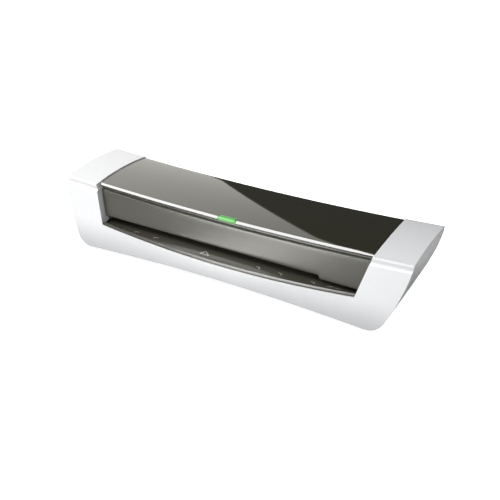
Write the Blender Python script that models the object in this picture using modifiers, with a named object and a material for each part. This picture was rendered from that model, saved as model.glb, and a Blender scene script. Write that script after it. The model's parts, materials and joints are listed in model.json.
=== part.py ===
"""Pouch laminator: a wide, low desk machine that seals a sheet between two films.

The white housing is a U: an end column on each side and an apron along the front. Between the columns
sit the dark top cover, the fascia, the feed tray and the rear cover. Inside, two heat plates and a pair of
silicone rollers are held between two steel side frames, and a small geared motor turns the rollers.

Frame: metres, +Z up, +X to the right of someone facing the feed slot, -Y towards them. The origin is the
centre of the footprint, on the surface that the feet stand on.
"""

import math

import bmesh
import bpy
from mathutils import Matrix, Vector

# Housing
HALF_WIDTH = 0.1735  # half the width at the crease
HALF_DEPTH = 0.0475  # half the depth over the apron's foot and the rear bulge
CREASE_Y = -0.0338  # the crease where front face and top meet
CREASE_Z = 0.0664  # its height at the ends
REAR_Y = 0.0458  # the top's rear edge
LEAN = 0.2192  # the front face comes forward by this much for each unit of height lost
SAG = 0.0050  # how far the top dips in the middle
ARCH = 0.0041  # how far the apron's foot rises in the middle
ARCH_REACH = 0.140
BOTTOM_Z = 0.0039
REAR_BOTTOM_Z = 0.008
CROWN = 0.0024  # the top's convex rise between its front and rear edges
FLARE = 0.0205  # how much narrower each end is at the foot than at the crease
CORNER_R = 0.009  # rounding where an end meets the foot
WALL = 0.0022
GAP = 0.0003

# Window between the columns
WINDOW_X = 0.1395
WINDOW_TAPER = 0.275
FLANGE_BACK_Y = -0.0205
REAR_RECESS = 0.0025

# Front recess, cover nose, fascia and tray
NOSE_Y = -0.0288
COVER_DROP = 0.0011
FASCIA_RECESS = 0.0072
LEDGE = 0.0067  # the fascia's bright edge, below the crease height
SLOT_TOP_Z = 0.0340
SLOT_END_X = 0.1000  # where the fascia closes the slot on the right
SLOT_CLOSE = 0.003
TRAY_BACK_Z = 0.0272
TRAY_LOW_Z = 0.0246
TRAY_RISE = 0.0070
TRAY_REACH = 0.130
TRAY_BACK_Y = -0.0334
TRAY_END_Y = -0.0215
TRAY_LIP = 0.0029

# Pouch path
PATH_X = -0.0173
PATH_HALF = 0.1105
PATH_Z = 0.030
PATH_GAP = 0.0044

# Rollers and gears
ROLLER_Y = 0.014
ROLLER_R = 0.008
SHAFT_R = 0.003
AXLE_GAP = 0.0163  # between the two roller axes
TEETH = 16
IDLER_TEETH = 14
PINION_TEETH = 12
MODULE = AXLE_GAP / TEETH
IDLER_ANGLE = math.radians(165)  # from the lower roller's axis to the idler's
PINION_ANGLE = math.radians(100)  # from the idler's axis to the motor's
GEAR_WIDTH = 0.005
LOWER_Z = PATH_Z - AXLE_GAP / 2
UPPER_Z = PATH_Z + AXLE_GAP / 2
BUSH_R = 0.0052
PITCH = [n * MODULE / 2 for n in (TEETH, IDLER_TEETH, PINION_TEETH)]
IDLER_AT = (
    ROLLER_Y + (PITCH[0] + PITCH[1]) * math.cos(IDLER_ANGLE),
    LOWER_Z + (PITCH[0] + PITCH[1]) * math.sin(IDLER_ANGLE),
)
MOTOR_AT = (
    IDLER_AT[0] + (PITCH[1] + PITCH[2]) * math.cos(PINION_ANGLE),
    IDLER_AT[1] + (PITCH[1] + PITCH[2]) * math.sin(PINION_ANGLE),
)

# Side frames
FRAME_T = 0.0015
LEFT_FRAME_X = PATH_X - PATH_HALF - 0.0042
RIGHT_FRAME_X = PATH_X + PATH_HALF + 0.0042
FRAME_Y = (-0.0195, 0.034)
FRAME_Z = (0.0105, 0.0545)
FLANGE_T = 0.0015
FLANGE_REACH = 0.0058
TAB_Z = 0.0525  # the spring tabs' underside
GEAR_X = RIGHT_FRAME_X + 0.0085
FRAME_SCREWS = [
    (x, y) for x in (LEFT_FRAME_X - 0.0037, RIGHT_FRAME_X + 0.0037) for y in (-0.014, 0.0285)
]

# Base, feet and motor
BASE_HALF_X = 0.1425
BASE_Y = (-0.036, 0.0405)
BASE_Z = 0.0062
BASE_LIP = 0.006
FOOT_R = 0.0075
FOOT_AT = (0.122, 0.027)
MOTOR_R = 0.0165
MOTOR_LENGTH = 0.019
POST_R = 0.0022

# Power key
KEY_HALF = 0.0087
KEY_DEPTH = 0.0048
KEY_TRAVEL = 0.0008
KEY_BOARD_Z = 0.0475
STEM_Y = NOSE_Y + 0.0035
STEM_LOW_Z = 0.0528

# Rear cover
EXIT_HALF_Z = 0.003
VENTS = 12
VENT_PITCH = 0.009
VENT_HALF_X = 0.0015
VENT_Z = (0.0385, 0.0465)
GLAND_R = 0.0052
INLET_AT = (0.112, 0.0185)
REAR_SCREWS = [(-0.118, 0.018), (0.088, 0.018)]
REAR_SCREW_R = 0.0018

STATIONS = 20


def spaced(start, end, count):
    """Count + 1 evenly spaced values from start to end."""
    return [start + (end - start) * i / count for i in range(count + 1)]


# Set-up


def clear_scene():
    for thing in list(bpy.data.objects):
        bpy.data.objects.remove(thing, do_unlink=True)


def make_collection(name):
    group = bpy.data.collections.new(name)
    bpy.context.scene.collection.children.link(group)
    return group


def make_material(name, colour, roughness, metallic=0.0):
    material = bpy.data.materials.new(name)
    material.use_nodes = True
    shader = material.node_tree.nodes["Principled BSDF"]
    shader.inputs["Base Color"].default_value = (*colour, 1)
    shader.inputs["Roughness"].default_value = roughness
    shader.inputs["Metallic"].default_value = metallic
    return material


clear_scene()
PARTS = make_collection("pouch_laminator")
CUTTERS = make_collection("cutters")
WHITE = (0.86, 0.87, 0.87)
DARK = (0.085, 0.083, 0.068)
BLACK = (0.012, 0.012, 0.012)
STEEL = (0.62, 0.63, 0.64)
ALUMINIUM = (0.78, 0.79, 0.80)
NYLON = (0.80, 0.78, 0.70)
GREEN = (0.10, 0.55, 0.12)
BOARD_GREEN = (0.03, 0.20, 0.09)


def add_part(name, mesh, colour, roughness=0.5, metallic=0.0):
    """Link a finished mesh as a named sub-part with a material of its own."""
    part = bpy.data.objects.new(name, mesh)
    mesh.name = name
    mesh.materials.append(make_material(name, colour, roughness, metallic))
    mesh.shade_smooth()
    mesh.set_sharp_from_angle(angle=math.radians(30))
    PARTS.objects.link(part)
    return part


def add_cutter(name, mesh):
    cutter = bpy.data.objects.new(name, mesh)
    cutter.display_type = "WIRE"
    cutter.hide_render = True
    CUTTERS.objects.link(cutter)
    return cutter


def boolean(part, other, operation="DIFFERENCE"):
    modifier = part.modifiers.new(operation.lower(), "BOOLEAN")
    modifier.object = other
    modifier.operation = operation
    modifier.solver = "EXACT"


def settle(part):
    """Splits the cut faces evenly and joins points within a hundredth of a millimetre."""
    triangulate = part.modifiers.new("triangulate", "TRIANGULATE")
    triangulate.quad_method = "BEAUTY"
    triangulate.ngon_method = "BEAUTY"
    weld = part.modifiers.new("weld", "WELD")
    weld.merge_threshold = 0.00001


def finished(bm):
    bmesh.ops.recalc_face_normals(bm, faces=bm.faces)
    mesh = bpy.data.meshes.new("mesh")
    bm.to_mesh(mesh)
    bm.free()
    return mesh


# Shapes


def box_mesh(low, high):
    """A box between two opposite corners."""
    bm = bmesh.new()
    bmesh.ops.create_cube(bm, size=1)
    size = [b - a for a, b in zip(low, high)]
    middle = [(a + b) / 2 for a, b in zip(low, high)]
    bmesh.ops.transform(bm, matrix=Matrix.Translation(middle) @ Matrix.Diagonal((*size, 1)), verts=bm.verts)
    return finished(bm)


def boxes_mesh(*corners):
    """Several boxes in one mesh, for a cutter that makes a row of openings."""
    bm = bmesh.new()
    for low, high in corners:
        bm.from_mesh(box_mesh(low, high))
    return finished(bm)


def cylinder_mesh(radius, start, end, segments=24):
    """A cylinder from one point to another along one of the axes."""
    start, end = Vector(start), Vector(end)
    along = end - start
    bm = bmesh.new()
    bmesh.ops.create_cone(
        bm, cap_ends=True, segments=segments, radius1=radius, radius2=radius, depth=along.length
    )
    turn = along.to_track_quat("Z", "Y").to_matrix().to_4x4()
    bmesh.ops.transform(bm, matrix=Matrix.Translation((start + end) / 2) @ turn, verts=bm.verts)
    return finished(bm)


def loft_mesh(stations, ring):
    """A closed solid skinned through the ring of points at each station."""
    bm = bmesh.new()
    rings = [[bm.verts.new(point) for point in ring(station)] for station in stations]
    count = len(rings[0])
    for near, far in zip(rings, rings[1:]):
        for i in range(count):
            j = (i + 1) % count
            bm.faces.new((near[i], near[j], far[j], far[i]))
    bm.faces.new(reversed(rings[0]))
    bm.faces.new(rings[-1])
    return finished(bm)


def plate_mesh(outlines, thickness, matrix):
    """A flat plate from closed 2D outlines, the later ones holes, placed by a matrix."""
    curve = bpy.data.curves.new("outline", "CURVE")
    curve.dimensions = "2D"
    curve.fill_mode = "BOTH"
    curve.extrude = thickness / 2
    for outline in outlines:
        spline = curve.splines.new("POLY")
        spline.points.add(len(outline) - 1)
        for point, (u, v) in zip(spline.points, outline):
            point.co = (u, v, 0, 1)
        spline.use_cyclic_u = True
    holder = bpy.data.objects.new("outline", curve)
    PARTS.objects.link(holder)
    evaluated = holder.evaluated_get(bpy.context.evaluated_depsgraph_get())
    mesh = bpy.data.meshes.new_from_object(evaluated)
    bpy.data.objects.remove(holder, do_unlink=True)
    bm = bmesh.new()
    bm.from_mesh(mesh)
    bmesh.ops.remove_doubles(bm, verts=bm.verts, dist=1e-6)
    bmesh.ops.transform(bm, matrix=matrix, verts=bm.verts)
    return finished(bm)


def add_turned(name, profile, start, along, colour, roughness=0.4, metallic=0.0, segments=16, closed=False):
    """A turned piece: (radius, height) points, top first, spun about the line from start."""
    mesh = bpy.data.meshes.new(name)
    edges = [(i, i + 1) for i in range(len(profile) - 1)]
    if closed:
        edges.append((len(profile) - 1, 0))
    mesh.from_pydata([(radius, 0, height) for radius, height in profile], edges, [])
    part = add_part(name, mesh, colour, roughness, metallic)
    screw = part.modifiers.new("turn", "SCREW")
    screw.steps = segments
    screw.render_steps = segments
    screw.use_merge_vertices = True
    screw.merge_threshold = 1e-6
    part.location = start
    part.rotation_mode = "QUATERNION"
    part.rotation_quaternion = Vector(along).to_track_quat("Z", "Y")
    return part


def circle(radius, segments, centre=(0.0, 0.0)):
    turn = [2 * math.pi * i / segments for i in range(segments)]
    return [(centre[0] + radius * math.cos(a), centre[1] + radius * math.sin(a)) for a in turn]


def across(x):
    """Turns a flat outline, drawn as (y, z), to stand across the machine at x."""
    return Matrix(((0, 0, 1, x), (1, 0, 0, 0), (0, 1, 0, 0), (0, 0, 0, 1)))


# The housing's surfaces


def sag(x):
    return SAG * (1 - (x / HALF_WIDTH) ** 2)


def crease_z(x):
    return CREASE_Z - sag(x)


def bottom_z(x):
    return BOTTOM_Z + ARCH * max(0.0, 1 - (x / ARCH_REACH) ** 2)


def front_y(z):
    return CREASE_Y - LEAN * (CREASE_Z - z)


def top_z(x, y):
    t = (y - CREASE_Y) / (REAR_Y - CREASE_Y)
    return crease_z(x) + 4 * CROWN * t * (1 - t) - 0.001 * t


def rear_y(z):
    middle = (CREASE_Z + REAR_BOTTOM_Z) / 2
    reach = (CREASE_Z - REAR_BOTTOM_Z) / 2
    return HALF_DEPTH - (HALF_DEPTH - REAR_Y) * ((z - middle) / reach) ** 2


def end_x(z):
    """Half the housing's width at a height: a boat-like flare with a rounded foot."""
    rise = min(1.0, max(0.0, (z - BOTTOM_Z) / (CREASE_Z - BOTTOM_Z)))
    corner = max(0.0, CORNER_R - max(0.0, z - BOTTOM_Z))
    return HALF_WIDTH - FLARE * (1 - rise) ** 1.5 - (CORNER_R - math.sqrt(CORNER_R**2 - corner**2))


def rear_face(z):
    """The rear cover's outer face, set back between the columns."""
    return rear_y(z) - REAR_RECESS


def window_x(z):
    return WINDOW_X - WINDOW_TAPER * (CREASE_Z - z)


def tray_z(x):
    return TRAY_LOW_Z + TRAY_RISE * (x / TRAY_REACH) ** 2


def fascia_y(z):
    return front_y(z) + FASCIA_RECESS


def outer_ring(x):
    """The closed section of the whole body at x, from the front foot up and over to the rear."""
    crease, foot = crease_z(x), bottom_z(x)
    crown = top_z(x, REAR_Y)
    front = [(front_y(foot), foot), (front_y(crease - 0.0068), crease - 0.0068)]
    band = [(-0.0006, -0.0058), (0.0003, -0.0045), (0.0005, -0.0032), (0.0003, -0.0022)]
    crest = [(0.0007, -0.0011), (0.0017, -0.0003)]
    edge = [(CREASE_Y + dy, crease + dz) for dy, dz in band + crest]
    top = [(y, top_z(x, y)) for y in spaced(CREASE_Y + 0.003, REAR_Y - 0.004, 9)]
    corner = [(REAR_Y - 0.0013, crown - 0.0005), (REAR_Y - 0.0002, crown - 0.0022)]
    rear = [(rear_y(z), z) for z in spaced(crown - 0.006, REAR_BOTTOM_Z, 5)]
    sill = [(REAR_Y - 0.0028, REAR_BOTTOM_Z - 0.0022)]
    return [(x, y, z) for y, z in front + edge + top + corner + rear + sill]


def cavity_ring(x):
    """The section of the hollow, one wall inside the body and open below."""
    crease = crease_z(x)
    crown = top_z(x, REAR_Y) - WALL
    front = [(front_y(z) + WALL, z) for z in (-0.005, crease - 0.0075)]
    edge = [(CREASE_Y + 0.0034, crease - 0.0056), (CREASE_Y + 0.0044, crease - 0.0028)]
    inner_rear = REAR_Y - 0.005
    top = [(y, top_z(x, y) - WALL) for y in spaced(CREASE_Y + 0.006, inner_rear, 8)]
    rear = [(rear_y(z) - WALL, z) for z in spaced(crown - 0.004, REAR_BOTTOM_Z, 5)]
    return [(x, y, z) for y, z in front + edge + top + rear + [(REAR_Y - WALL, -0.005)]]


def end_outline(inset, foot):
    """The body seen from the front, as (x, z): both flared ends down to their rounded feet."""
    heights = [BOTTOM_Z + CORNER_R * (1 - math.cos(a)) for a in spaced(0, math.pi / 2, 5)]
    heights += spaced(BOTTOM_Z + CORNER_R, CREASE_Z, 8)[1:]
    right = [(end_x(z) - inset, max(z, BOTTOM_Z + inset)) for z in heights]
    right = [(right[0][0], foot)] + right + [(HALF_WIDTH - inset, 0.08)]
    return right + [(-x, z) for x, z in reversed(right)]


def end_prism(inset, foot):
    upright = Matrix(((1, 0, 0, 0), (0, 0, -1, 0), (0, 1, 0, 0), (0, 0, 0, 1)))
    return plate_mesh([end_outline(inset, foot)], 0.2, upright)


def window_ring(u, grow, back, floor):
    """The section of the opening between the columns; grow widens it by a wall."""
    sill = tray_z(u * TRAY_REACH) - TRAY_LIP - GAP - grow
    shelf = TRAY_BACK_Z - 0.0028 - grow
    steps = [(-0.07, sill), (front_y(sill) + 0.0024 + grow, sill), (TRAY_BACK_Y, shelf)]
    steps += [(TRAY_END_Y, shelf), (TRAY_END_Y, floor), (back, floor), (back, 0.09), (-0.07, 0.09)]
    return [(u * (window_x(z) + grow), y, z) for y, z in steps]


# Casings


def make_housing():
    reach = HALF_WIDTH + 0.005
    stations = spaced(-reach, reach, STATIONS)
    housing = add_part("housing", loft_mesh(stations, outer_ring), WHITE, 0.22)
    boolean(housing, add_cutter("end_shape", end_prism(0, BOTTOM_Z)), "INTERSECT")
    cavity = add_cutter("cavity", loft_mesh(stations, cavity_ring))
    boolean(cavity, add_cutter("end_shape_inner", end_prism(WALL, -0.004)), "INTERSECT")
    across_window = spaced(-1, 1, STATIONS)
    rim = loft_mesh(across_window, lambda u: window_ring(u, WALL, FLANGE_BACK_Y, 0.0205))
    boolean(cavity, add_cutter("window_rim", rim))
    boolean(housing, cavity)
    window = loft_mesh(across_window, lambda u: window_ring(u, 0, 0.07, -0.01))
    boolean(housing, add_cutter("window", window))
    settle(housing)


def fitted(x_share, points):
    """Sets section points across the window, following its slanting sides."""
    return [(x_share * (window_x(z) - GAP), y, z) for y, z in points]


def cover_ring(u):
    x = u * WINDOW_X
    crease = crease_z(x)
    edge_z = top_z(x, REAR_Y) - COVER_DROP
    nose = [(0.0028, -0.0034), (0.0009, -0.0033), (0.0002, -0.0027), (0.0, -0.0020), (0.0004, -0.0012)]
    outer = [(NOSE_Y + dy, crease + dz) for dy, dz in nose]
    outer += [(y, top_z(x, y) - COVER_DROP) for y in spaced(NOSE_Y + 0.0018, REAR_Y - 0.004, 9)]
    outer += [(REAR_Y - 0.0013, edge_z - 0.0004), (REAR_Y, edge_z - 0.002)]
    outer += [(rear_y(edge_z - 0.009), edge_z - 0.009)]
    inner = [(rear_y(edge_z - 0.009) - WALL, edge_z - 0.009), (REAR_Y - WALL, edge_z - 0.004)]
    inner += [(y, top_z(x, y) - COVER_DROP - WALL) for y in spaced(REAR_Y - 0.006, NOSE_Y + 0.006, 8)]
    return fitted(u, outer + inner)


def make_top_cover():
    cover = add_part("top_cover", loft_mesh(spaced(-1, 1, STATIONS), cover_ring), DARK, 0.12)
    low = (-KEY_HALF - GAP, NOSE_Y - 0.002, crease_z(0) - 0.006)
    high = (KEY_HALF + GAP, NOSE_Y + KEY_DEPTH + GAP, CREASE_Z + 0.01)
    boolean(cover, add_cutter("key_notch", box_mesh(low, high)))
    settle(cover)


def slot_closing(x):
    """How far the fascia's lower edge drops where it closes the slot on the right."""
    t = min(1.0, max(0.0, (x - SLOT_END_X + 0.001) / 0.002))
    return SLOT_CLOSE * t


def fascia_ring(u):
    x = u * WINDOW_X
    crease = crease_z(x)
    lip = SLOT_TOP_Z - slot_closing(x)
    ledge = crease - LEDGE
    outer = [(NOSE_Y + 0.0052, crease - 0.0040), (NOSE_Y + 0.0024, crease - 0.0042)]
    outer += [(NOSE_Y + 0.0014, crease - 0.0052), (NOSE_Y + 0.0007, crease - 0.0062)]
    outer += [(fascia_y(ledge) + 0.0002, ledge), (fascia_y(ledge - 0.0008), ledge - 0.0008)]
    outer += [(fascia_y(lip), lip), (fascia_y(lip) + 0.0005, lip - 0.0008)]
    outer += [(fascia_y(lip) + 0.0018, lip - 0.0012), (TRAY_END_Y, lip - 0.0006)]
    inner = [(TRAY_END_Y, lip + 0.0012), (fascia_y(lip) + 0.0026, lip + 0.0008)]
    inner += [(fascia_y(ledge) + 0.0020, ledge - 0.0012), (NOSE_Y + 0.0034, crease - 0.0060)]
    inner += [(NOSE_Y + 0.0052, crease - 0.0058)]
    return fitted(u, outer + inner)


def make_fascia():
    near_end = [(SLOT_END_X + dx) / WINDOW_X for dx in (-0.001, 0.001)]
    stations = sorted(spaced(-1, 1, STATIONS) + near_end)
    fascia = add_part("fascia", loft_mesh(stations, fascia_ring), DARK, 0.16)
    low = (-0.004, NOSE_Y + 0.0020, crease_z(0) - 0.009)
    high = (0.004, NOSE_Y + 0.008, crease_z(0) - 0.002)
    boolean(fascia, add_cutter("stem_notch", box_mesh(low, high)))
    settle(fascia)


def tray_ring(u):
    x = u * TRAY_REACH
    front = tray_z(x)
    face = front_y(front)
    top = [(TRAY_END_Y, TRAY_BACK_Z + 0.0012), (TRAY_BACK_Y, TRAY_BACK_Z)]
    for t in (0.25, 0.5, 0.75, 0.92):
        y = TRAY_BACK_Y + (face - TRAY_BACK_Y) * t
        top.append((y, TRAY_BACK_Z + (front - TRAY_BACK_Z) * t**1.2))
    lip = [(face + 0.0004, front + 0.0001), (face - 0.0002, front - 0.0005)]
    lip += [(front_y(front - TRAY_LIP) - 0.0002, front - TRAY_LIP), (face + 0.0019, front - TRAY_LIP)]
    under = [(y, z - 0.0019) for y, z in reversed(top[:4])]
    return fitted(u, top + lip + under)


def make_feed_tray():
    add_part("feed_tray", loft_mesh(spaced(-1, 1, STATIONS), tray_ring), DARK, 0.3)


def rear_ring(u):
    x = u * WINDOW_X
    head = top_z(x, REAR_Y) - COVER_DROP - 0.009 - GAP
    heights = spaced(head, REAR_BOTTOM_Z + 0.001, 6)
    outer = [(rear_face(z), z) for z in heights]
    inner = [(y - WALL, z) for y, z in reversed(outer)]
    return fitted(u, outer + inner)


def make_rear_cover():
    cover = add_part("rear_cover", loft_mesh(spaced(-1, 1, STATIONS // 2), rear_ring), DARK, 0.35)
    low = (PATH_X - PATH_HALF + 0.0008, 0.03, PATH_Z - EXIT_HALF_Z)
    high = (PATH_X + PATH_HALF + 0.0008, 0.06, PATH_Z + EXIT_HALF_Z)
    openings = [(low, high)]
    for i in range(VENTS):
        x = PATH_X + VENT_PITCH * (i - (VENTS - 1) / 2)
        openings.append(((x - VENT_HALF_X, 0.03, VENT_Z[0]), (x + VENT_HALF_X, 0.06, VENT_Z[1])))
    boolean(cover, add_cutter("rear_openings", boxes_mesh(*openings)))
    inlet = cylinder_mesh(GLAND_R + GAP, (INLET_AT[0], 0.03, INLET_AT[1]), (INLET_AT[0], 0.06, INLET_AT[1]))
    boolean(cover, add_cutter("inlet_hole", inlet))
    for x, z in REAR_SCREWS:
        hole = cylinder_mesh(REAR_SCREW_R, (x, 0.03, z), (x, 0.06, z), 12)
        boolean(cover, add_cutter("rear_screw_hole", hole))
    settle(cover)


def make_cord_gland():
    """A flanged bush with an open bore, where a mains lead would enter."""
    profile = [(0.0073, 0.0020), (0.0073, 0.0009), (GLAND_R, 0.0009), (GLAND_R, -0.0055)]
    profile += [(0.0032, -0.0055), (0.0032, 0.0027), (0.0055, 0.0027)]
    start = (INLET_AT[0], rear_face(INLET_AT[1]), INLET_AT[1])
    add_turned("cord_gland", profile, start, (0, 1, 0), BLACK, 0.6, segments=24, closed=True)


def make_base_shell():
    """A shallow tub under the works, with vents, screw holes and a hole over each foot's stud."""
    low = (-BASE_HALF_X, BASE_Y[0], BASE_Z)
    high = (BASE_HALF_X, BASE_Y[1], BASE_Z + BASE_LIP)
    base = add_part("base_shell", box_mesh(low, high), DARK, 0.5)
    inner_low = [a + WALL for a in low]
    inner_high = (BASE_HALF_X - WALL, BASE_Y[1] - WALL, 0.03)
    boolean(base, add_cutter("base_hollow", box_mesh(inner_low, inner_high)))
    vents = []
    for i in range(10):
        x = PATH_X + 0.018 * (i - 4.5)
        vents.append(((x - 0.005, -0.012, 0), (x + 0.005, -0.0095, 0.02)))
        vents.append(((x - 0.005, -0.004, 0), (x + 0.005, -0.0015, 0.02)))
    boolean(base, add_cutter("base_vents", boxes_mesh(*vents)))
    holes = bmesh.new()
    for x, y in FRAME_SCREWS:
        holes.from_mesh(cylinder_mesh(0.0018, (x, y, 0), (x, y, 0.02), 12))
    for x, y in foot_places():
        holes.from_mesh(cylinder_mesh(0.0027, (x, y, 0), (x, y, 0.02), 12))
    boolean(base, add_cutter("base_holes", finished(holes)))
    settle(base)


def foot_places():
    return [(sx * FOOT_AT[0], sy * FOOT_AT[1]) for sy in (-1, 1) for sx in (-1, 1)]


def make_feet():
    names = ("foot_front_left", "foot_front_right", "foot_rear_left", "foot_rear_right")
    profile = [(0, 0.0102), (0.0024, 0.0102), (0.0024, BASE_Z - GAP), (FOOT_R, BASE_Z - GAP)]
    profile += [(FOOT_R, 0.0008), (FOOT_R - 0.0008, 0), (0, 0)]
    for name, (x, y) in zip(names, foot_places()):
        add_turned(name, profile, (x, y, 0), (0, 0, 1), BLACK, 0.85, segments=20)


# Works


def make_side_frame(name, x, outward, pivots):
    """A steel plate with a foot flange and a spring tab, bored for the bushes."""
    outline = [(FRAME_Y[0], FRAME_Z[0]), (FRAME_Y[1], FRAME_Z[0]), (FRAME_Y[1], FRAME_Z[1] - 0.008)]
    outline += [(FRAME_Y[1] - 0.008, FRAME_Z[1]), (FRAME_Y[0] + 0.006, FRAME_Z[1])]
    outline += [(FRAME_Y[0], FRAME_Z[1] - 0.006)]
    holes = [circle(BUSH_R + GAP, 24, (ROLLER_Y, LOWER_Z)), circle(BUSH_R + GAP, 24, (ROLLER_Y, UPPER_Z))]
    holes += [circle(radius, 16, centre) for centre, radius in pivots]
    frame = add_part(name, plate_mesh([outline] + holes, FRAME_T, across(x)), STEEL, 0.35, 1.0)
    near, far = sorted((x, x + outward * FLANGE_REACH))
    floor = FRAME_Z[0]
    flange = box_mesh((near, FRAME_Y[0] + 0.001, floor - 0.0002), (far, FRAME_Y[1] - 0.001, floor + FLANGE_T))
    boolean(frame, add_cutter(name + "_flange", flange), "UNION")
    near, far = sorted((x, x + outward * FLANGE_REACH))
    tab = box_mesh((near, ROLLER_Y - 0.005, TAB_Z), (far, ROLLER_Y + 0.005, TAB_Z + FLANGE_T))
    boolean(frame, add_cutter(name + "_tab", tab), "UNION")
    for screw_x, screw_y in FRAME_SCREWS:
        if near - 0.004 < screw_x < far + 0.004:
            hole = cylinder_mesh(0.0014, (screw_x, screw_y, 0), (screw_x, screw_y, 0.02), 12)
            boolean(frame, add_cutter(name + "_hole", hole))
    settle(frame)


def make_side_frames():
    make_side_frame("left_frame", LEFT_FRAME_X, -1, [])
    pivots = [(IDLER_AT, 0.0016), (MOTOR_AT, 0.0045)]
    make_side_frame("right_frame", RIGHT_FRAME_X, 1, pivots)


def make_tie_bar(name, y, z):
    """A steel rod between the side frames."""
    start = (LEFT_FRAME_X + FRAME_T / 2 + GAP, y, z)
    length = RIGHT_FRAME_X - LEFT_FRAME_X - FRAME_T - 2 * GAP
    profile = [(0, length), (0.002, length), (0.002, 0), (0, 0)]
    add_turned(name, profile, start, (1, 0, 0), STEEL, 0.3, 1.0, segments=12)


def make_roller(name, z, shaft_end):
    """A silicone sleeve on a steel shaft that runs in a bush at each end."""
    length = 2 * PATH_HALF
    sleeve = [(ROLLER_R - 0.0005, length), (ROLLER_R, length - 0.0006), (ROLLER_R, 0.0006)]
    sleeve += [(ROLLER_R - 0.0005, 0), (SHAFT_R + GAP, 0), (SHAFT_R + GAP, length)]
    start = (PATH_X - PATH_HALF, ROLLER_Y, z)
    add_turned(name + "_roller", sleeve, start, (1, 0, 0), (0.34, 0.10, 0.06), 0.7, segments=32, closed=True)
    left = LEFT_FRAME_X - 0.006
    length = shaft_end - left
    shaft = [(0, length), (SHAFT_R - 0.0004, length), (SHAFT_R, length - 0.0004), (SHAFT_R, 0.0004)]
    shaft += [(SHAFT_R - 0.0004, 0), (0, 0)]
    add_turned(name + "_shaft", shaft, (left, ROLLER_Y, z), (1, 0, 0), STEEL, 0.25, 1.0, segments=24)


def make_bush(name, x, z, outward):
    """A flanged nylon bush; its flange bears on the frame's outer face."""
    bore = SHAFT_R + 0.0001
    face = FRAME_T / 2 + GAP
    profile = [(BUSH_R + 0.0018, face + 0.0035), (BUSH_R + 0.0018, face)]
    profile += [(BUSH_R, face), (BUSH_R, -FRAME_T / 2 - 0.0008), (bore, -FRAME_T / 2 - 0.0008)]
    profile += [(bore, face + 0.0035)]
    add_turned(name, profile, (x, ROLLER_Y, z), (outward, 0, 0), NYLON, 0.5, segments=32, closed=True)


def gear_outline(teeth, backlash=0.0002):
    """An involute gear's outline, with one tooth centred on angle 0."""
    pitch_r = teeth * MODULE / 2
    base_r = pitch_r * math.cos(math.radians(20))
    tip_r = pitch_r + 0.85 * MODULE
    root_r = pitch_r - 1.15 * MODULE
    involute = math.tan(math.radians(20)) - math.radians(20)
    half = math.pi / (2 * teeth) - backlash / (2 * pitch_r) + involute
    flank = [(root_r, half)]
    for radius in spaced(max(base_r, root_r + 0.0001), tip_r, 3):
        pressure = math.acos(min(1.0, base_r / radius))
        flank.append((radius, half - (math.tan(pressure) - pressure)))
    tooth = [(r, -a) for r, a in flank] + [(r, a) for r, a in reversed(flank)]
    points = []
    for i in range(teeth):
        middle = 2 * math.pi * i / teeth
        points += [(r * math.cos(middle + a), r * math.sin(middle + a)) for r, a in tooth]
    return points


def add_gear(name, teeth, centre, phase, bore, x, width):
    turn = Matrix.Rotation(phase, 4, "Z")
    mesh = plate_mesh(
        [gear_outline(teeth), circle(bore, 24)],
        width,
        across(x) @ Matrix.Translation((centre[0], centre[1], 0)) @ turn,
    )
    return add_part(name, mesh, NYLON, 0.45)


def meshed_phase(teeth, phase, other_teeth, direction):
    """The turn that sets a gear's gap on its neighbour's tooth, seen along direction."""
    share = teeth / other_teeth
    return direction + math.pi - (phase - direction) * share - math.pi / other_teeth


def make_gears():
    upper_phase = meshed_phase(TEETH, 0, TEETH, math.pi / 2)
    idler_phase = meshed_phase(TEETH, 0, IDLER_TEETH, IDLER_ANGLE)
    pinion_phase = meshed_phase(IDLER_TEETH, idler_phase, PINION_TEETH, PINION_ANGLE)
    bore = SHAFT_R + GAP
    add_gear("lower_gear", TEETH, (ROLLER_Y, LOWER_Z), 0, bore, GEAR_X, GEAR_WIDTH)
    add_gear("upper_gear", TEETH, (ROLLER_Y, UPPER_Z), upper_phase, bore, GEAR_X, GEAR_WIDTH)
    add_gear("idler_gear", IDLER_TEETH, IDLER_AT, idler_phase, 0.0026, GEAR_X, GEAR_WIDTH)
    add_gear("motor_pinion", PINION_TEETH, MOTOR_AT, pinion_phase, 0.0023, GEAR_X, GEAR_WIDTH)
    pin = [(0, 0.0123), (0.0040, 0.0123), (0.0040, 0.0113), (0.0025, 0.0113), (0.0025, 0.0057)]
    pin += [(0.0035, 0.0057), (0.0035, 0.0012), (0.0013, 0.0012), (0.0013, -0.0012), (0, -0.0012)]
    place = (RIGHT_FRAME_X, *IDLER_AT)
    add_turned("idler_pin", pin, place, (1, 0, 0), STEEL, 0.3, 1.0, segments=24)


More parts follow.
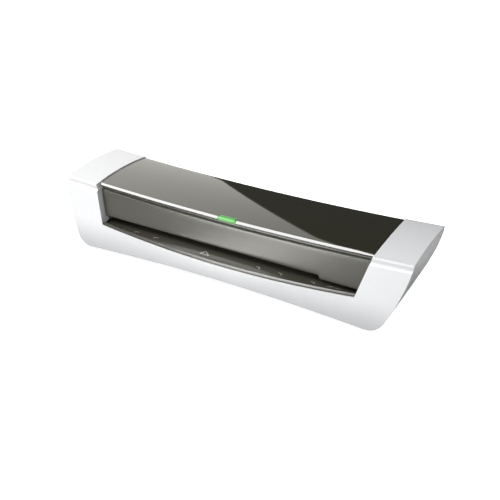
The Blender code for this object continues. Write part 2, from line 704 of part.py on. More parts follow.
def make_motor():
    """A round geared motor whose shaft points back through the pinion to the frame."""
    face = GEAR_X + GEAR_WIDTH / 2 + 0.003
    body = [(0, MOTOR_LENGTH), (MOTOR_R - 0.001, MOTOR_LENGTH), (MOTOR_R, MOTOR_LENGTH - 0.001)]
    body += [(MOTOR_R, 0), (0, 0)]
    add_turned("drive_motor", body, (face, *MOTOR_AT), (1, 0, 0), STEEL, 0.4, 1.0, segments=32)
    length = face - GAP - (RIGHT_FRAME_X - 0.0015)
    shaft = [(0, length), (0.002, length), (0.002, 0), (0, 0)]
    start = (RIGHT_FRAME_X - 0.0015, *MOTOR_AT)
    add_turned("motor_shaft", shaft, start, (1, 0, 0), STEEL, 0.25, 1.0, segments=20)
    for name, dy, dz in (("motor_post_top", 0.008, 0.0135), ("motor_post_front", -0.0125, -0.0085)):
        length = face - GAP - (RIGHT_FRAME_X + FRAME_T / 2 + GAP)
        points = [(0, length), (POST_R, length), (POST_R, 0), (0, 0)]
        start = (RIGHT_FRAME_X + FRAME_T / 2 + GAP, MOTOR_AT[0] + dy, MOTOR_AT[1] + dz)
        add_turned(name, points, start, (1, 0, 0), STEEL, 0.35, 1.0, segments=12)


def make_spring(name, x):
    """A compression spring that presses an upper bush down."""
    turns, radius, wire = 5, 0.0018, 0.0004
    low, high = UPPER_Z + BUSH_R + 0.0018 + GAP + wire, TAB_Z - GAP - wire
    curve = bpy.data.curves.new(name, "CURVE")
    curve.dimensions = "3D"
    curve.bevel_depth = wire
    curve.bevel_resolution = 1
    curve.use_fill_caps = True
    count = turns * 10
    spline = curve.splines.new("POLY")
    spline.points.add(count)
    for i, point in enumerate(spline.points):
        turn = 2 * math.pi * turns * i / count
        place = (radius * math.cos(turn), radius * math.sin(turn), low + (high - low) * i / count)
        point.co = (*place, 1)
    spring = bpy.data.objects.new(name, curve)
    spring.location = (x, ROLLER_Y, 0)
    curve.materials.append(make_material(name, STEEL, 0.3, 1.0))
    PARTS.objects.link(spring)


def make_heat_plates():
    left, right = PATH_X - PATH_HALF, PATH_X + PATH_HALF
    for name, face, away in (("lower", PATH_Z - PATH_GAP / 2, -1), ("upper", PATH_Z + PATH_GAP / 2, 1)):
        near, far = sorted((face, face + away * 0.0042))
        plate = add_part(
            name + "_heat_plate", box_mesh((left, -0.0185, near), (right, 0.0035, far)), ALUMINIUM, 0.35, 1.0
        )
        bevel = plate.modifiers.new("bevel", "BEVEL")
        bevel.width = 0.0008
        bevel.segments = 2
        near, far = sorted((face + away * 0.0045, face + away * 0.0063))
        heater = box_mesh((left + 0.006, -0.0145, near), (right - 0.006, -0.0005, far))
        add_part(name + "_heater", heater, (0.45, 0.36, 0.22), 0.6)


def make_heat_controls():
    top = PATH_Z + PATH_GAP / 2 + 0.0066
    profile = [(0, 0.0062), (0.0035, 0.0062), (0.0035, 0.0022), (0.0068, 0.0022), (0.0068, 0), (0, 0)]
    add_turned("thermostat", profile, (0.02, -0.0075, top), (0, 0, 1), BLACK, 0.4, segments=24)
    low = PATH_Z - PATH_GAP / 2 - 0.0066
    profile = [(0, 0.012), (0.0008, 0.012), (0.0019, 0.010), (0.0019, 0.001), (0, 0)]
    add_turned("thermal_fuse", profile, (0.03, -0.0075, low - 0.0019), (1, 0, 0), STEEL, 0.4, 1.0, segments=16)


def make_exit_guides():
    left, right = PATH_X - PATH_HALF, PATH_X + PATH_HALF
    back = rear_face(PATH_Z) - WALL - GAP
    for name, face, away in (("lower", PATH_Z - PATH_GAP / 2, -1), ("upper", PATH_Z + PATH_GAP / 2, 1)):
        start = ROLLER_Y + 0.0075

        def ring(x, face=face, away=away, start=start):
            points = [(start, face + away * 0.0012), (start + 0.004, face), (back, face)]
            points += [(back, face + away * 0.0014), (start, face + away * 0.0026)]
            return [(x, y, z) for y, z in points]

        add_part(name + "_exit_guide", loft_mesh((left, right), ring), BLACK, 0.5)


def make_power_key():
    """A translucent key set in the cover's nose, with a stem that reaches its switch."""
    crease = crease_z(0)

    def ring(x):
        back = NOSE_Y + KEY_DEPTH
        points = [(NOSE_Y + 0.0006, crease - 0.0030), (NOSE_Y - 0.0003, crease - 0.0022)]
        points += [(NOSE_Y, crease - 0.0009), (NOSE_Y + 0.0009, crease - 0.0003)]
        points += [(NOSE_Y + 0.0020, top_z(0, NOSE_Y + 0.002) - COVER_DROP + 0.0004)]
        points += [(back, top_z(0, back) - COVER_DROP + 0.0003), (back, crease - 0.0030)]
        return [(x, y, z) for y, z in points]

    key = add_part("power_key", loft_mesh((-KEY_HALF, KEY_HALF), ring), GREEN, 0.25)
    stem = cylinder_mesh(0.0013, (0, STEM_Y, crease - 0.0035 + 0.0015), (0, STEM_Y, STEM_LOW_Z), 16)
    boolean(key, add_cutter("key_stem", stem), "UNION")
    settle(key)


def make_key_board():
    board = box_mesh((-0.022, STEM_Y - 0.0015, KEY_BOARD_Z), (0.022, STEM_Y + 0.016, KEY_BOARD_Z + 0.0012))
    add_part("key_board", board, BOARD_GREEN, 0.5)
    top = KEY_BOARD_Z + 0.0012 + GAP
    switch = [(0, STEM_LOW_Z - KEY_TRAVEL - GAP - top), (0.0009, STEM_LOW_Z - KEY_TRAVEL - GAP - top)]
    switch += [(0.0009, 0.0017), (0.0014, 0.0017), (0.0014, 0), (0, 0)]
    add_turned("key_switch", switch, (0, STEM_Y, top), (0, 0, 1), BLACK, 0.5, segments=16)
    lamp = [(0, 0.0042), (0.0008, 0.0039), (0.0013, 0.003), (0.0013, 0), (0, 0)]
    add_turned("key_lamp", lamp, (0.006, STEM_Y + 0.0035, top), (0, 0, 1), GREEN, 0.2, segments=16)


def make_main_board():
    floor = BASE_Z + WALL
    right = BASE_HALF_X - WALL - 0.001
    near, low = 0.0155, floor + 0.002
    add_part("main_board", box_mesh((0.1085, near, low), (right, 0.0365, low + 0.0014)), BOARD_GREEN, 0.5)
    top = low + 0.0014 + GAP
    profile = [(0, 0.013), (0.0045, 0.013), (0.005, 0.0125), (0.005, 0), (0, 0)]
    add_turned("capacitor", profile, (0.132, 0.024, top), (0, 0, 1), (0.02, 0.05, 0.15), 0.35, segments=20)
    add_part("relay", box_mesh((0.113, 0.019, top), (0.1235, 0.0265, top + 0.010)), (0.02, 0.10, 0.32), 0.35)
    block = box_mesh((0.112, 0.0295, top), (0.128, 0.0355, top + 0.006))
    add_part("terminal_block", block, (0.05, 0.30, 0.10), 0.45)


def make_screw(name, start, along, length, hole_r):
    """A pan-headed screw seen from its head, which stands at start."""
    profile = [(0, 0.0016), (0.0014, 0.0015), (0.0025, 0.0009), (0.0027, 0.0), (hole_r, 0.0)]
    profile += [(hole_r, -length + 0.0008), (0, -length)]
    add_turned(name, profile, start, along, STEEL, 0.3, 1.0, segments=12)


def make_screws():
    sides = ("left_front", "left_rear", "right_front", "right_rear")
    for side, (x, y) in zip(sides, FRAME_SCREWS):
        head_z = FRAME_Z[0] + FLANGE_T + GAP
        make_screw("frame_screw_" + side, (x, y, head_z), (0, 0, 1), 0.0068, 0.0011)
    for side, (x, z) in zip(("left", "right"), REAR_SCREWS):
        make_screw("rear_screw_" + side, (x, rear_face(z) + GAP, z), (0, 1, 0), 0.008, 0.0014)


def main():
    make_housing()
    make_top_cover()
    make_fascia()
    make_feed_tray()
    make_rear_cover()
    make_cord_gland()
    make_base_shell()
    make_feet()
    make_side_frames()
    make_tie_bar("front_tie_bar", -0.0145, 0.0440)
    make_tie_bar("rear_tie_bar", 0.0285, 0.0445)
    make_roller("lower", LOWER_Z, GEAR_X + GEAR_WIDTH / 2 + 0.001)
    make_roller("upper", UPPER_Z, GEAR_X + GEAR_WIDTH / 2 + 0.001)
    for side, x, outward in (("left", LEFT_FRAME_X, -1), ("right", RIGHT_FRAME_X, 1)):
        make_bush("lower_bush_" + side, x, LOWER_Z, outward)
        make_bush("upper_bush_" + side, x, UPPER_Z, outward)
        make_spring("pressure_spring_" + side, x + outward * (FRAME_T / 2 + 0.0026))
    make_gears()
    make_motor()
    make_heat_plates()
    make_heat_controls()
    make_exit_guides()
    make_power_key()
    make_key_board()
    make_main_board()
    make_screws()


main()
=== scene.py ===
"""Looks of a pouch laminator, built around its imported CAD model."""

import json
import math

import bmesh
import bpy
from mathutils import Matrix, Vector


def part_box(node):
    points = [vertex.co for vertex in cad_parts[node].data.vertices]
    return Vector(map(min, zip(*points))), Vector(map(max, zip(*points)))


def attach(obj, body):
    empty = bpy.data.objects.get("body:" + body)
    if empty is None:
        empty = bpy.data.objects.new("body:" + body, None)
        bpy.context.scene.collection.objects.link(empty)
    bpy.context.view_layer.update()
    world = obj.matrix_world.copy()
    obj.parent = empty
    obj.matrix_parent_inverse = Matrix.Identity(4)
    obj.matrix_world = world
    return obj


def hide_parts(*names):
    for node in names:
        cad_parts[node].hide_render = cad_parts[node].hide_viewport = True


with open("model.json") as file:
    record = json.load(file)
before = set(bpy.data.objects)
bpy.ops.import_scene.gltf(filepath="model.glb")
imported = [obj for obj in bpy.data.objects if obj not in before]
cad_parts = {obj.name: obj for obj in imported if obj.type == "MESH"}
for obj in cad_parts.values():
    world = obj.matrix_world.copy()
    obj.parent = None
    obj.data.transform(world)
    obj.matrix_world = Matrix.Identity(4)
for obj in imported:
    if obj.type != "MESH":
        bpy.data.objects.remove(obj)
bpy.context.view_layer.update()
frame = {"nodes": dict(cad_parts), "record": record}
NODES = frame["nodes"]

# Sizes read from the frame, metres
HOUSING_LOW, HOUSING_HIGH = (Vector(corner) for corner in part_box("housing"))
KEY_HIGH = Vector(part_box("power_key")[1])
ROLLER_LOW, ROLLER_HIGH = (Vector(corner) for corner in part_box("upper_roller"))
HALF_WIDTH = HOUSING_HIGH.x
HALF_DEPTH = HOUSING_HIGH.y
BOTTOM_Z = HOUSING_LOW.z
PATH_X = (ROLLER_LOW.x + ROLLER_HIGH.x) / 2
NOSE_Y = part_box("top_cover")[0][1]
KEY_HALF = KEY_HIGH.x
TRAY_END_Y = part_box("feed_tray")[1][1]

# The housing's section, as in the CAD model
CREASE_Z = 0.0664
CREASE_Y = -0.0338
REAR_Y = 0.0458
LEAN = 0.2192
SAG = 0.0050
ARCH = 0.0041
ARCH_REACH = 0.140
REAR_BOTTOM_Z = 0.008
CROWN = 0.0024
FLARE = 0.0205
CORNER_R = 0.009
WALL = 0.0020
WINDOW_X = 0.1395
WINDOW_TAPER = 0.275
COVER_DROP = 0.0011
FASCIA_RECESS = 0.0072
LEDGE = 0.0067
SLOT_TOP_Z = 0.0340
SLOT_END_X = 0.1000
SLOT_CLOSE = 0.003
TRAY_BACK_Z = 0.0272
TRAY_BACK_Y = -0.0334
TRAY_LOW_Z = 0.0246
TRAY_RISE = 0.0070
TRAY_REACH = 0.130
TRAY_LIP = 0.0029
GAP = 0.0003

# Walls that turn in from the window's edge, and the front chain's row at the apron's sill
COLUMN_DEPTH = 0.0125
SEAT_DEPTH = 0.006
SILL_ROW = 12

# The skins of the lid, and how far the key stands proud of it
LID_SKIN = 0.0022
KEY_PROUD = 0.0004

# Half the widths of the pouches that the tray's marks are for, how far forward the marks stand, and their ink
MARK_REACHES = (0.108, 0.077, 0.0555)
MARK_Y = -0.0372
MARK_INK = (0.44, 0.43, 0.39, 1)

# Camera fitted to the photograph
CAMERA_PLACE = Vector((0.3263, -0.5708, 0.3943))
CAMERA_AZIMUTH = math.radians(29.135)
CAMERA_ELEVATION = math.radians(29.94)
CAMERA_ROLL = math.radians(0.01)
CAMERA_LENS = 58.645

# Two points of the slanting line on the cover, and the card's distance and its strength from left to right
CARD_EDGE_ON_COVER = ((0.0784, -0.0204), (-0.0533, 0.0450))
CARD_Y = 0.9
CARD_GLOW = (1.55, 0.95)
CARD_REACH = 0.9
CARD_WIDTH = 3.0

# Corners of the card in front and of the card behind on the right
SHEEN_CARD = ((-0.17, -0.62, 0), (-0.03, -0.56, 0), (-0.03, -0.16, 0), (-0.13, -0.16, 0))
RIM_CARD = ((0.55, 1.0, 0.15), (1.0, 0.75, 0.15), (1.0, 0.75, 0.85), (0.55, 1.0, 0.85))

FLOOR_SIZE = 6
FLOOR_GLOW = 0.9
BACKDROP_RADIUS = 5
BACKDROP_MIDDLE = 2.9
WORLD_GREY = 0.045


def spaced(start, end, count):
    """Count + 1 evenly spaced values from start to end."""
    return [start + (end - start) * i / count for i in range(count + 1)]


def mix(a, b, t):
    return a + (b - a) * t


# Surfaces


def crease_z(x):
    return CREASE_Z - SAG * (1 - (x / HALF_WIDTH) ** 2)


def bottom_z(x):
    return BOTTOM_Z + ARCH * max(0.0, 1 - (x / ARCH_REACH) ** 2)


def front_y(z):
    return CREASE_Y - LEAN * (CREASE_Z - z)


def top_z(x, y):
    t = (y - CREASE_Y) / (REAR_Y - CREASE_Y)
    return crease_z(x) + 4 * CROWN * t * (1 - t) - 0.001 * t


def rear_y(z):
    middle = (CREASE_Z + REAR_BOTTOM_Z) / 2
    reach = (CREASE_Z - REAR_BOTTOM_Z) / 2
    return HALF_DEPTH - (HALF_DEPTH - REAR_Y) * ((z - middle) / reach) ** 2


def end_x(z):
    """Half the housing's width at a height: a boat-like flare with a rounded foot."""
    rise = min(1.0, max(0.0, (z - BOTTOM_Z) / (CREASE_Z - BOTTOM_Z)))
    corner = max(0.0, CORNER_R - max(0.0, z - BOTTOM_Z))
    return HALF_WIDTH - FLARE * (1 - rise) ** 1.5 - (CORNER_R - math.sqrt(CORNER_R**2 - corner**2))


def window_x(z):
    return WINDOW_X - WINDOW_TAPER * (CREASE_Z - z)


def tray_z(x):
    return TRAY_LOW_Z + TRAY_RISE * (x / TRAY_REACH) ** 2


def fascia_y(z):
    return front_y(z) + FASCIA_RECESS


# Mesh helpers


def rounded(points, steps=4):
    """A path of (y, z) through corner points (y, z, radius), each corner turned as a short curve."""
    path = []
    for i, (y, z, radius) in enumerate(points):
        if radius == 0 or i in (0, len(points) - 1):
            path.append((y, z))
            continue
        here = Vector((y, z))
        before = Vector(points[i - 1][:2]) - here
        after = Vector(points[i + 1][:2]) - here
        turn = math.pi - before.angle(after)
        reach = min(radius * math.tan(turn / 2), before.length * 0.48, after.length * 0.48)
        start = here + before.normalized() * reach
        end = here + after.normalized() * reach
        for t in spaced(0, 1, steps):
            point = start * (1 - t) ** 2 + here * 2 * t * (1 - t) + end * t**2
            path.append((point.x, point.y))
    return path


def add_grid(bm, rows):
    """Quads over a grid of points; points that coincide are joined later."""
    verts = [[bm.verts.new(point) for point in row] for row in rows]
    for low, high in zip(verts, verts[1:]):
        for i in range(len(low) - 1):
            bm.faces.new((low[i], low[i + 1], high[i + 1], high[i]))


def add_loft(bm, stations, ring):
    """A closed solid skinned through the ring of points at each station."""
    rings = [[bm.verts.new(point) for point in ring(station)] for station in stations]
    count = len(rings[0])
    for near, far in zip(rings, rings[1:]):
        for i in range(count):
            j = (i + 1) % count
            bm.faces.new((near[i], near[j], far[j], far[i]))
    bm.faces.new(reversed(rings[0]))
    bm.faces.new(rings[-1])


def make_piece(name, bm, material, sharp=30):
    """Link a finished mesh as a smooth-shaded piece."""
    bmesh.ops.remove_doubles(bm, verts=bm.verts, dist=1e-6)
    bmesh.ops.dissolve_degenerate(bm, edges=bm.edges, dist=1e-7)
    bmesh.ops.recalc_face_normals(bm, faces=bm.faces)
    mesh = bpy.data.meshes.new(name)
    bm.to_mesh(mesh)
    bm.free()
    mesh.materials.append(material)
    mesh.shade_smooth()
    mesh.set_sharp_from_angle(angle=math.radians(sharp))
    piece = bpy.data.objects.new(name, mesh)
    bpy.context.scene.collection.objects.link(piece)
    return piece


def bevel(piece, width, segments=3, angle=35):
    modifier = piece.modifiers.new("bevel", "BEVEL")
    modifier.width = width
    modifier.segments = segments
    modifier.limit_method = "ANGLE"
    modifier.angle_limit = math.radians(angle)
    modifier.harden_normals = True
    modifier.miter_outer = "MITER_ARC"


# Materials


class Nodes:
    """A short way to write a node material."""

    def __init__(self, name):
        self.material = bpy.data.materials.new(name)
        self.material.use_nodes = True
        self.tree = self.material.node_tree
        self.shader = self.tree.nodes["Principled BSDF"]
        self.place = self.add("ShaderNodeTexCoord").outputs["Object"]

    def add(self, kind, **values):
        node = self.tree.nodes.new(kind)
        for key, value in values.items():
            setattr(node, key, value)
        return node

    def link(self, source, target):
        self.tree.links.new(source, target)

    def noise(self, scale, detail=2.0, roughness=0.5):
        node = self.add("ShaderNodeTexNoise")
        node.inputs["Scale"].default_value = scale
        node.inputs["Detail"].default_value = detail
        node.inputs["Roughness"].default_value = roughness
        self.link(self.place, node.inputs["Vector"])
        return node.outputs["Fac"]

    def spread(self, source, low, high):
        """Maps 0..1 to low..high."""
        node = self.add("ShaderNodeMapRange")
        node.inputs["To Min"].default_value = low
        node.inputs["To Max"].default_value = high
        self.link(source, node.inputs["Value"])
        return node.outputs["Result"]

    def blend(self, share, first, second):
        node = self.add("ShaderNodeMix", data_type="RGBA")
        self.link(share, node.inputs["Factor"])
        node.inputs["A"].default_value = (*first, 1)
        node.inputs["B"].default_value = (*second, 1)
        return node.outputs["Result"]

    def maths(self, operation, *inputs):
        """One arithmetic step; each input is a number or a socket."""
        node = self.add("ShaderNodeMath", operation=operation)
        for socket, value in zip(node.inputs, inputs):
            if isinstance(value, (int, float)):
                socket.default_value = value
            else:
                self.link(value, socket)
        return node.outputs["Value"]

    def split_place(self):
        node = self.add("ShaderNodeSeparateXYZ")
        self.link(self.place, node.inputs["Vector"])
        return node.outputs["X"], node.outputs["Y"], node.outputs["Z"]

    def ramp(self, source, start, end):
        """0 at start, 1 at end, with soft shoulders."""
        node = self.add("ShaderNodeMapRange", interpolation_type="SMOOTHSTEP")
        node.inputs["From Min"].default_value = start
        node.inputs["From Max"].default_value = end
        self.link(source, node.inputs["Value"])
        return node.outputs["Result"]

    def bump(self, source, distance, strength=1.0, under=None):
        node = self.add("ShaderNodeBump")
        node.inputs["Distance"].default_value = distance
        node.inputs["Strength"].default_value = strength
        self.link(source, node.inputs["Height"])
        if under is not None:
            self.link(under, node.inputs["Normal"])
        return node.outputs["Normal"]


def finish_material(
    name, colour, roughness, grain, metallic=0.0, coat=0.0, uneven=0.04, grain_scale=9000.0, clouds=60.0
):
    """A moulded, cast or rolled finish: faint colour clouds, uneven polish and a fine surface grain."""
    nodes = Nodes(name)
    shader = nodes.shader
    dark = [channel * (1 - uneven) for channel in colour]
    light = [min(1.0, channel * (1 + uneven)) for channel in colour]
    cloud = nodes.noise(clouds, 3)
    nodes.link(nodes.blend(cloud, dark, light), shader.inputs["Base Color"])
    polish = nodes.noise(clouds * 4, 4, 0.6)
    nodes.link(nodes.spread(polish, roughness * 0.85, roughness * 1.15), shader.inputs["Roughness"])
    nodes.link(nodes.bump(nodes.noise(grain_scale, 2), grain, 0.5), shader.inputs["Normal"])
    shader.inputs["Metallic"].default_value = metallic
    shader.inputs["Coat Weight"].default_value = coat
    shader.inputs["Coat Roughness"].default_value = 0.05
    return nodes


MATERIALS = {
    "dark_gloss": finish_material("cover_gloss", (0.030, 0.029, 0.018), 0.045, 0.0, coat=1.0).material,
    "fascia_gloss": finish_material("fascia_gloss", (0.085, 0.083, 0.067), 0.22, 0.000002, uneven=0.01).material,
    "dark_satin": finish_material("dark_satin", (0.040, 0.038, 0.030), 0.25, 0.000004).material,
    "dark_matt": finish_material("dark_matt", (0.045, 0.044, 0.038), 0.50, 0.00003, grain_scale=2500).material,
    "rubber": finish_material("rubber", (0.018, 0.018, 0.018), 0.80, 0.00003, grain_scale=3000).material,
    "steel": finish_material("steel", (0.56, 0.57, 0.58), 0.30, 0.00001, metallic=1.0).material,
    "screw_steel": finish_material("screw_steel", (0.48, 0.49, 0.50), 0.28, 0.00001, metallic=1.0).material,
    "silicone": finish_material("silicone", (0.34, 0.09, 0.05), 0.60, 0.00002, grain_scale=4000).material,
    "nylon": finish_material("nylon", (0.78, 0.75, 0.66), 0.45, 0.00001).material,
    "aluminium": finish_material("aluminium", (0.72, 0.73, 0.74), 0.32, 0.00001, metallic=1.0).material,
    "mica": finish_material("mica", (0.42, 0.33, 0.20), 0.45, 0.00002, uneven=0.25, clouds=300).material,
    "black_plastic": finish_material("black_plastic", (0.012, 0.012, 0.012), 0.42, 0.00002).material,
    "board_green": finish_material("board_green", (0.02, 0.17, 0.07), 0.35, 0.00001, uneven=0.2).material,
    "capacitor_blue": finish_material("capacitor_blue", (0.02, 0.04, 0.14), 0.3, 0.000005).material,
    "relay_blue": finish_material("relay_blue", (0.02, 0.09, 0.30), 0.3, 0.000005).material,
    "terminal_green": finish_material("terminal_green", (0.04, 0.28, 0.09), 0.4, 0.00001).material,
}


def lit_green():
    """Translucent green plastic lit from behind, brightest along its front edge."""
    nodes = finish_material("key_green", (0.05, 0.30, 0.05), 0.22, 0.000003)
    _, y, _ = nodes.split_place()
    glow = nodes.ramp(y, NOSE_Y + 0.0030, NOSE_Y + 0.0004)
    colour = nodes.blend(glow, (0.02, 0.17, 0.025), (0.30, 0.80, 0.24))
    nodes.link(colour, nodes.shader.inputs["Emission Color"])
    nodes.shader.inputs["Emission Strength"].default_value = 0.5
    return nodes.material


def white_with_painted_foot_shade():
    """Glossy white with painted shade: the base colour turns greyer towards the foot, where the front falls into
    shade.
    """
    nodes = finish_material("white_gloss", (0.86, 0.87, 0.88), 0.26, 0.000004, uneven=0.01)
    base = nodes.shader.inputs["Base Color"]
    plain = base.links[0].from_socket
    _, _, z = nodes.split_place()
    node = nodes.add("ShaderNodeMix", data_type="RGBA")
    nodes.link(nodes.ramp(z, BOTTOM_Z - 0.004, 0.034), node.inputs["Factor"])
    # Painted shade: the grey that the base colour is mixed towards near the foot.
    node.inputs["A"].default_value = (0.53, 0.54, 0.55, 1)
    nodes.link(plain, node.inputs["B"])
    nodes.link(node.outputs["Result"], base)
    return nodes.material


MATERIALS["white_gloss"] = white_with_painted_foot_shade()
MATERIALS["key_green"] = lit_green()


# Housing


def section(foot, sill, crease, x_top):
    """The outer section at a station: front chain going up, top arc, rear chain going up."""
    share = CORNER_R / 0.0223
    climb = [share * (1 - math.cos(a)) for a in spaced(0, math.pi / 2, 6)] + spaced(share, 1, 6)[1:]
    front = [(front_y(z), z) for z in (mix(foot, sill, t) for t in climb)]
    band_low = crease - 0.0074
    front += [(front_y(z), z) for z in spaced(sill, band_low, 10)[1:]]
    crest_end = CREASE_Y + 0.0034
    corners = [(front_y(band_low), band_low, 0), (front_y(crease - 0.0066), crease - 0.0066, 0.0010)]
    corners += [(CREASE_Y + 0.0003, crease - 0.0052, 0.0015), (CREASE_Y + 0.0004, crease - 0.0030, 0.001)]
    corners += [(CREASE_Y - 0.0001, crease - 0.0021, 0.0008), (CREASE_Y + 0.0001, crease + 0.0002, 0.0020)]
    corners += [(crest_end, top_z(x_top, crest_end), 0)]
    crest = rounded(corners)[1:]
    front += crest
    rear_end = REAR_Y - 0.0050
    top = [(y, top_z(x_top, y)) for y in spaced(crest_end, rear_end, 24)]
    crown = top_z(x_top, REAR_Y)
    turn = rounded([(rear_end, top[-1][1], 0), (REAR_Y, crown, 0.0028), (rear_y(crown - 0.006), crown - 0.006, 0)], 5)
    spare = len(front) - len(turn)
    rear = [(rear_y(z), z) for z in spaced(REAR_BOTTOM_Z, crown - 0.006, spare)[:-1]]
    return front, top, rear + list(reversed(turn))


def station_points(s):
    """Section points at a column station: 0 is the window's edge and 1 the housing's end."""

    def x_at(z):
        return mix(window_x(z), end_x(z), s)

    foot = BOTTOM_Z
    for _ in range(4):
        foot = bottom_z(x_at(foot))
    sill = tray_z(TRAY_REACH) - TRAY_LIP - GAP
    x_top = x_at(CREASE_Z)
    chains = section(foot, sill, crease_z(x_top), x_top)
    return [[(x_at(min(z, CREASE_Z)), y, z) for y, z in chain] for chain in chains]


def make_housing():
    shares = [0, 0.045, 0.1] + spaced(0.1, 0.9, 9)[1:-1] + [0.9, 0.95, 1]
    bm = bmesh.new()
    columns = [station_points(s) for s in shares]
    front = [[columns[k][0][i] for k in range(len(shares))] for i in range(len(columns[0][0]))]
    top = [[columns[k][1][i] for k in range(len(shares))] for i in range(len(columns[0][1]))]
    rear = [[columns[k][2][i] for k in range(len(shares))] for i in range(len(columns[0][2]))]
    add_grid(bm, front)
    add_grid(bm, top)
    add_grid(bm, rear)
    add_end_face(bm, columns[-1])
    add_apron(bm)
    add_window_rim(bm, columns[0])
    housing = make_piece("housing_shell", bm, MATERIALS["white_gloss"])
    mirror = housing.modifiers.new("mirror", "MIRROR")
    mirror.merge_threshold = 0.00001
    mirror.use_clip = True
    solidify = housing.modifiers.new("wall", "SOLIDIFY")
    solidify.thickness = WALL
    solidify.offset = -1
    bevel(housing, 0.0008)
    show(housing, "chassis", "white_gloss", "housing")


def add_end_face(bm, chains):
    """The flared end wall: rows between the front and rear chains, closed by one face under the top arc."""
    front, top, rear = chains
    shoulder = next(i for i, point in enumerate(front) if point[2] > CREASE_Z - 0.0035)
    rows = []
    for near, far in zip(front[: shoulder + 1], rear):
        row = []
        for share in spaced(0, 1, 24):
            z = mix(near[2], far[2], share)
            row.append((end_x(z), mix(near[1], far[1], share), z))
        row[0], row[-1] = near, far
        rows.append(row)
    add_grid(bm, rows)
    cap = rows[-1] + rear[shoulder + 1 :] + top[-2::-1] + front[-2:shoulder:-1]
    bm.faces.new([bm.verts.new(point) for point in cap])


def apron_chain(q):
    """The front chain's lower rows, at a share of the way from the middle to the window's edge."""
    foot = BOTTOM_Z
    for _ in range(4):
        foot = bottom_z(q * window_x(foot))
    sill = tray_z(q * TRAY_REACH) - TRAY_LIP - GAP
    front, _, _ = section(foot, sill, CREASE_Z, HALF_WIDTH)
    return [(q * window_x(z), y, z) for y, z in front[: SILL_ROW + 1]]


def add_apron(bm):
    """The front wall under the window and the ledge that the tray sits on."""
    chains = [apron_chain(q) for q in spaced(0, 1, 36)]
    add_grid(bm, [[chain[i] for chain in chains] for i in range(SILL_ROW + 1)])
    sills = [chain[-1] for chain in chains]
    add_grid(bm, [sills, [(x, y + SEAT_DEPTH, z - 0.0006) for x, y, z in sills]])


def add_window_rim(bm, chains):
    """The walls that turn in from the window's edge: deep at the front, shallow elsewhere."""
    front, top, rear = chains
    corner_z = front[-1][2] - SEAT_DEPTH

    def inner(x, y, z):
        if y > (CREASE_Y + REAR_Y) / 2:
            return (x, min(y, REAR_Y - SEAT_DEPTH), min(z, corner_z))
        deep = front_y(min(z, corner_z)) + COLUMN_DEPTH
        return (x + (0.0018 if z < corner_z else 0), max(y, deep), min(z, corner_z))

    edge = front[SILL_ROW:] + top[1:] + list(reversed(rear))[1:]
    add_grid(bm, [edge, [inner(*point) for point in edge]])


# Pieces between the columns


def show(piece, body, slot, *nodes):
    """Ride a piece on its body and let it stand for CAD nodes; the slot is not used."""
    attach(piece, body)
    if nodes:
        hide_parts(*nodes)


def across(u, path):
    """Sets section points across the window, following its slanting sides."""
    return [(u * (window_x(z) - GAP), y, z) for y, z in path]


def even_stations(count, extra=()):
    """Shares across the window with tight ones at the ends, so that the ends stay crisp."""
    return sorted([-1, 1, *spaced(-0.994, 0.994, count), *extra])


def cover_path(x):
    """The lid's section from under the nose, over the top and down behind, then back inside."""
    crease = crease_z(x)
    tail = top_z(x, REAR_Y) - COVER_DROP

    def lid(y):
        return top_z(x, y) - COVER_DROP

    front = [(NOSE_Y + 0.0034, crease - 0.0034, 0), (NOSE_Y + 0.0004, crease - 0.0033, 0.0005)]
    front += [(NOSE_Y, crease - 0.0021, 0.0005), (NOSE_Y + 0.0023, lid(NOSE_Y + 0.0023), 0.0010)]
    front += [(NOSE_Y + 0.006, lid(NOSE_Y + 0.006), 0)]
    outer = rounded(front, 6) + [(y, lid(y)) for y in spaced(NOSE_Y + 0.006, REAR_Y - 0.006, 26)[1:]]
    rear = [(REAR_Y - 0.006, lid(REAR_Y - 0.006), 0), (REAR_Y, tail, 0.0026)]
    rear += [(rear_y(tail - 0.009), tail - 0.009, 0)]
    outer += rounded(rear, 6)[1:]
    inner = [(rear_y(tail - 0.009) - LID_SKIN, tail - 0.009), (REAR_Y - LID_SKIN - 0.001, tail - 0.004)]
    inner += [(y, lid(y) - LID_SKIN) for y in spaced(REAR_Y - 0.007, NOSE_Y + 0.0075, 8)]
    return outer + inner


def make_top_cover():
    bm = bmesh.new()
    add_loft(bm, even_stations(96), lambda u: across(u, cover_path(u * WINDOW_X)))
    cover = make_piece("cover_shell", bm, MATERIALS["dark_gloss"])
    notch = bmesh.new()
    bmesh.ops.create_cube(notch, size=1)
    low = Vector((-KEY_HALF - GAP, NOSE_Y - 0.002, crease_z(0) - 0.006))
    high = Vector((KEY_HALF + GAP, KEY_HIGH.y + GAP, CREASE_Z + 0.01))
    size = Matrix.Diagonal((*(high - low), 1))
    bmesh.ops.transform(notch, matrix=Matrix.Translation((low + high) / 2) @ size, verts=notch.verts)
    cutter = make_piece("notch_cutter", notch, MATERIALS["dark_gloss"])
    cut_away(cover, cutter)
    bevel(cover, 0.00025, 2, 50)
    show(cover, "chassis", "dark_gloss", "top_cover")


def cut_away(piece, cutter):
    """Cuts a piece once and removes the cutter."""
    modifier = piece.modifiers.new("cut", "BOOLEAN")
    modifier.object = cutter
    modifier.solver = "EXACT"
    graph = bpy.context.evaluated_depsgraph_get()
    mesh = bpy.data.meshes.new_from_object(piece.evaluated_get(graph))
    piece.modifiers.clear()
    piece.data = mesh
    bpy.data.objects.remove(cutter, do_unlink=True)


def slot_closing(x):
    """How far the fascia's lower edge drops where it closes the slot on the right."""
    t = min(1.0, max(0.0, (x - SLOT_END_X + 0.0015) / 0.003))
    return SLOT_CLOSE * t * t * (3 - 2 * t)


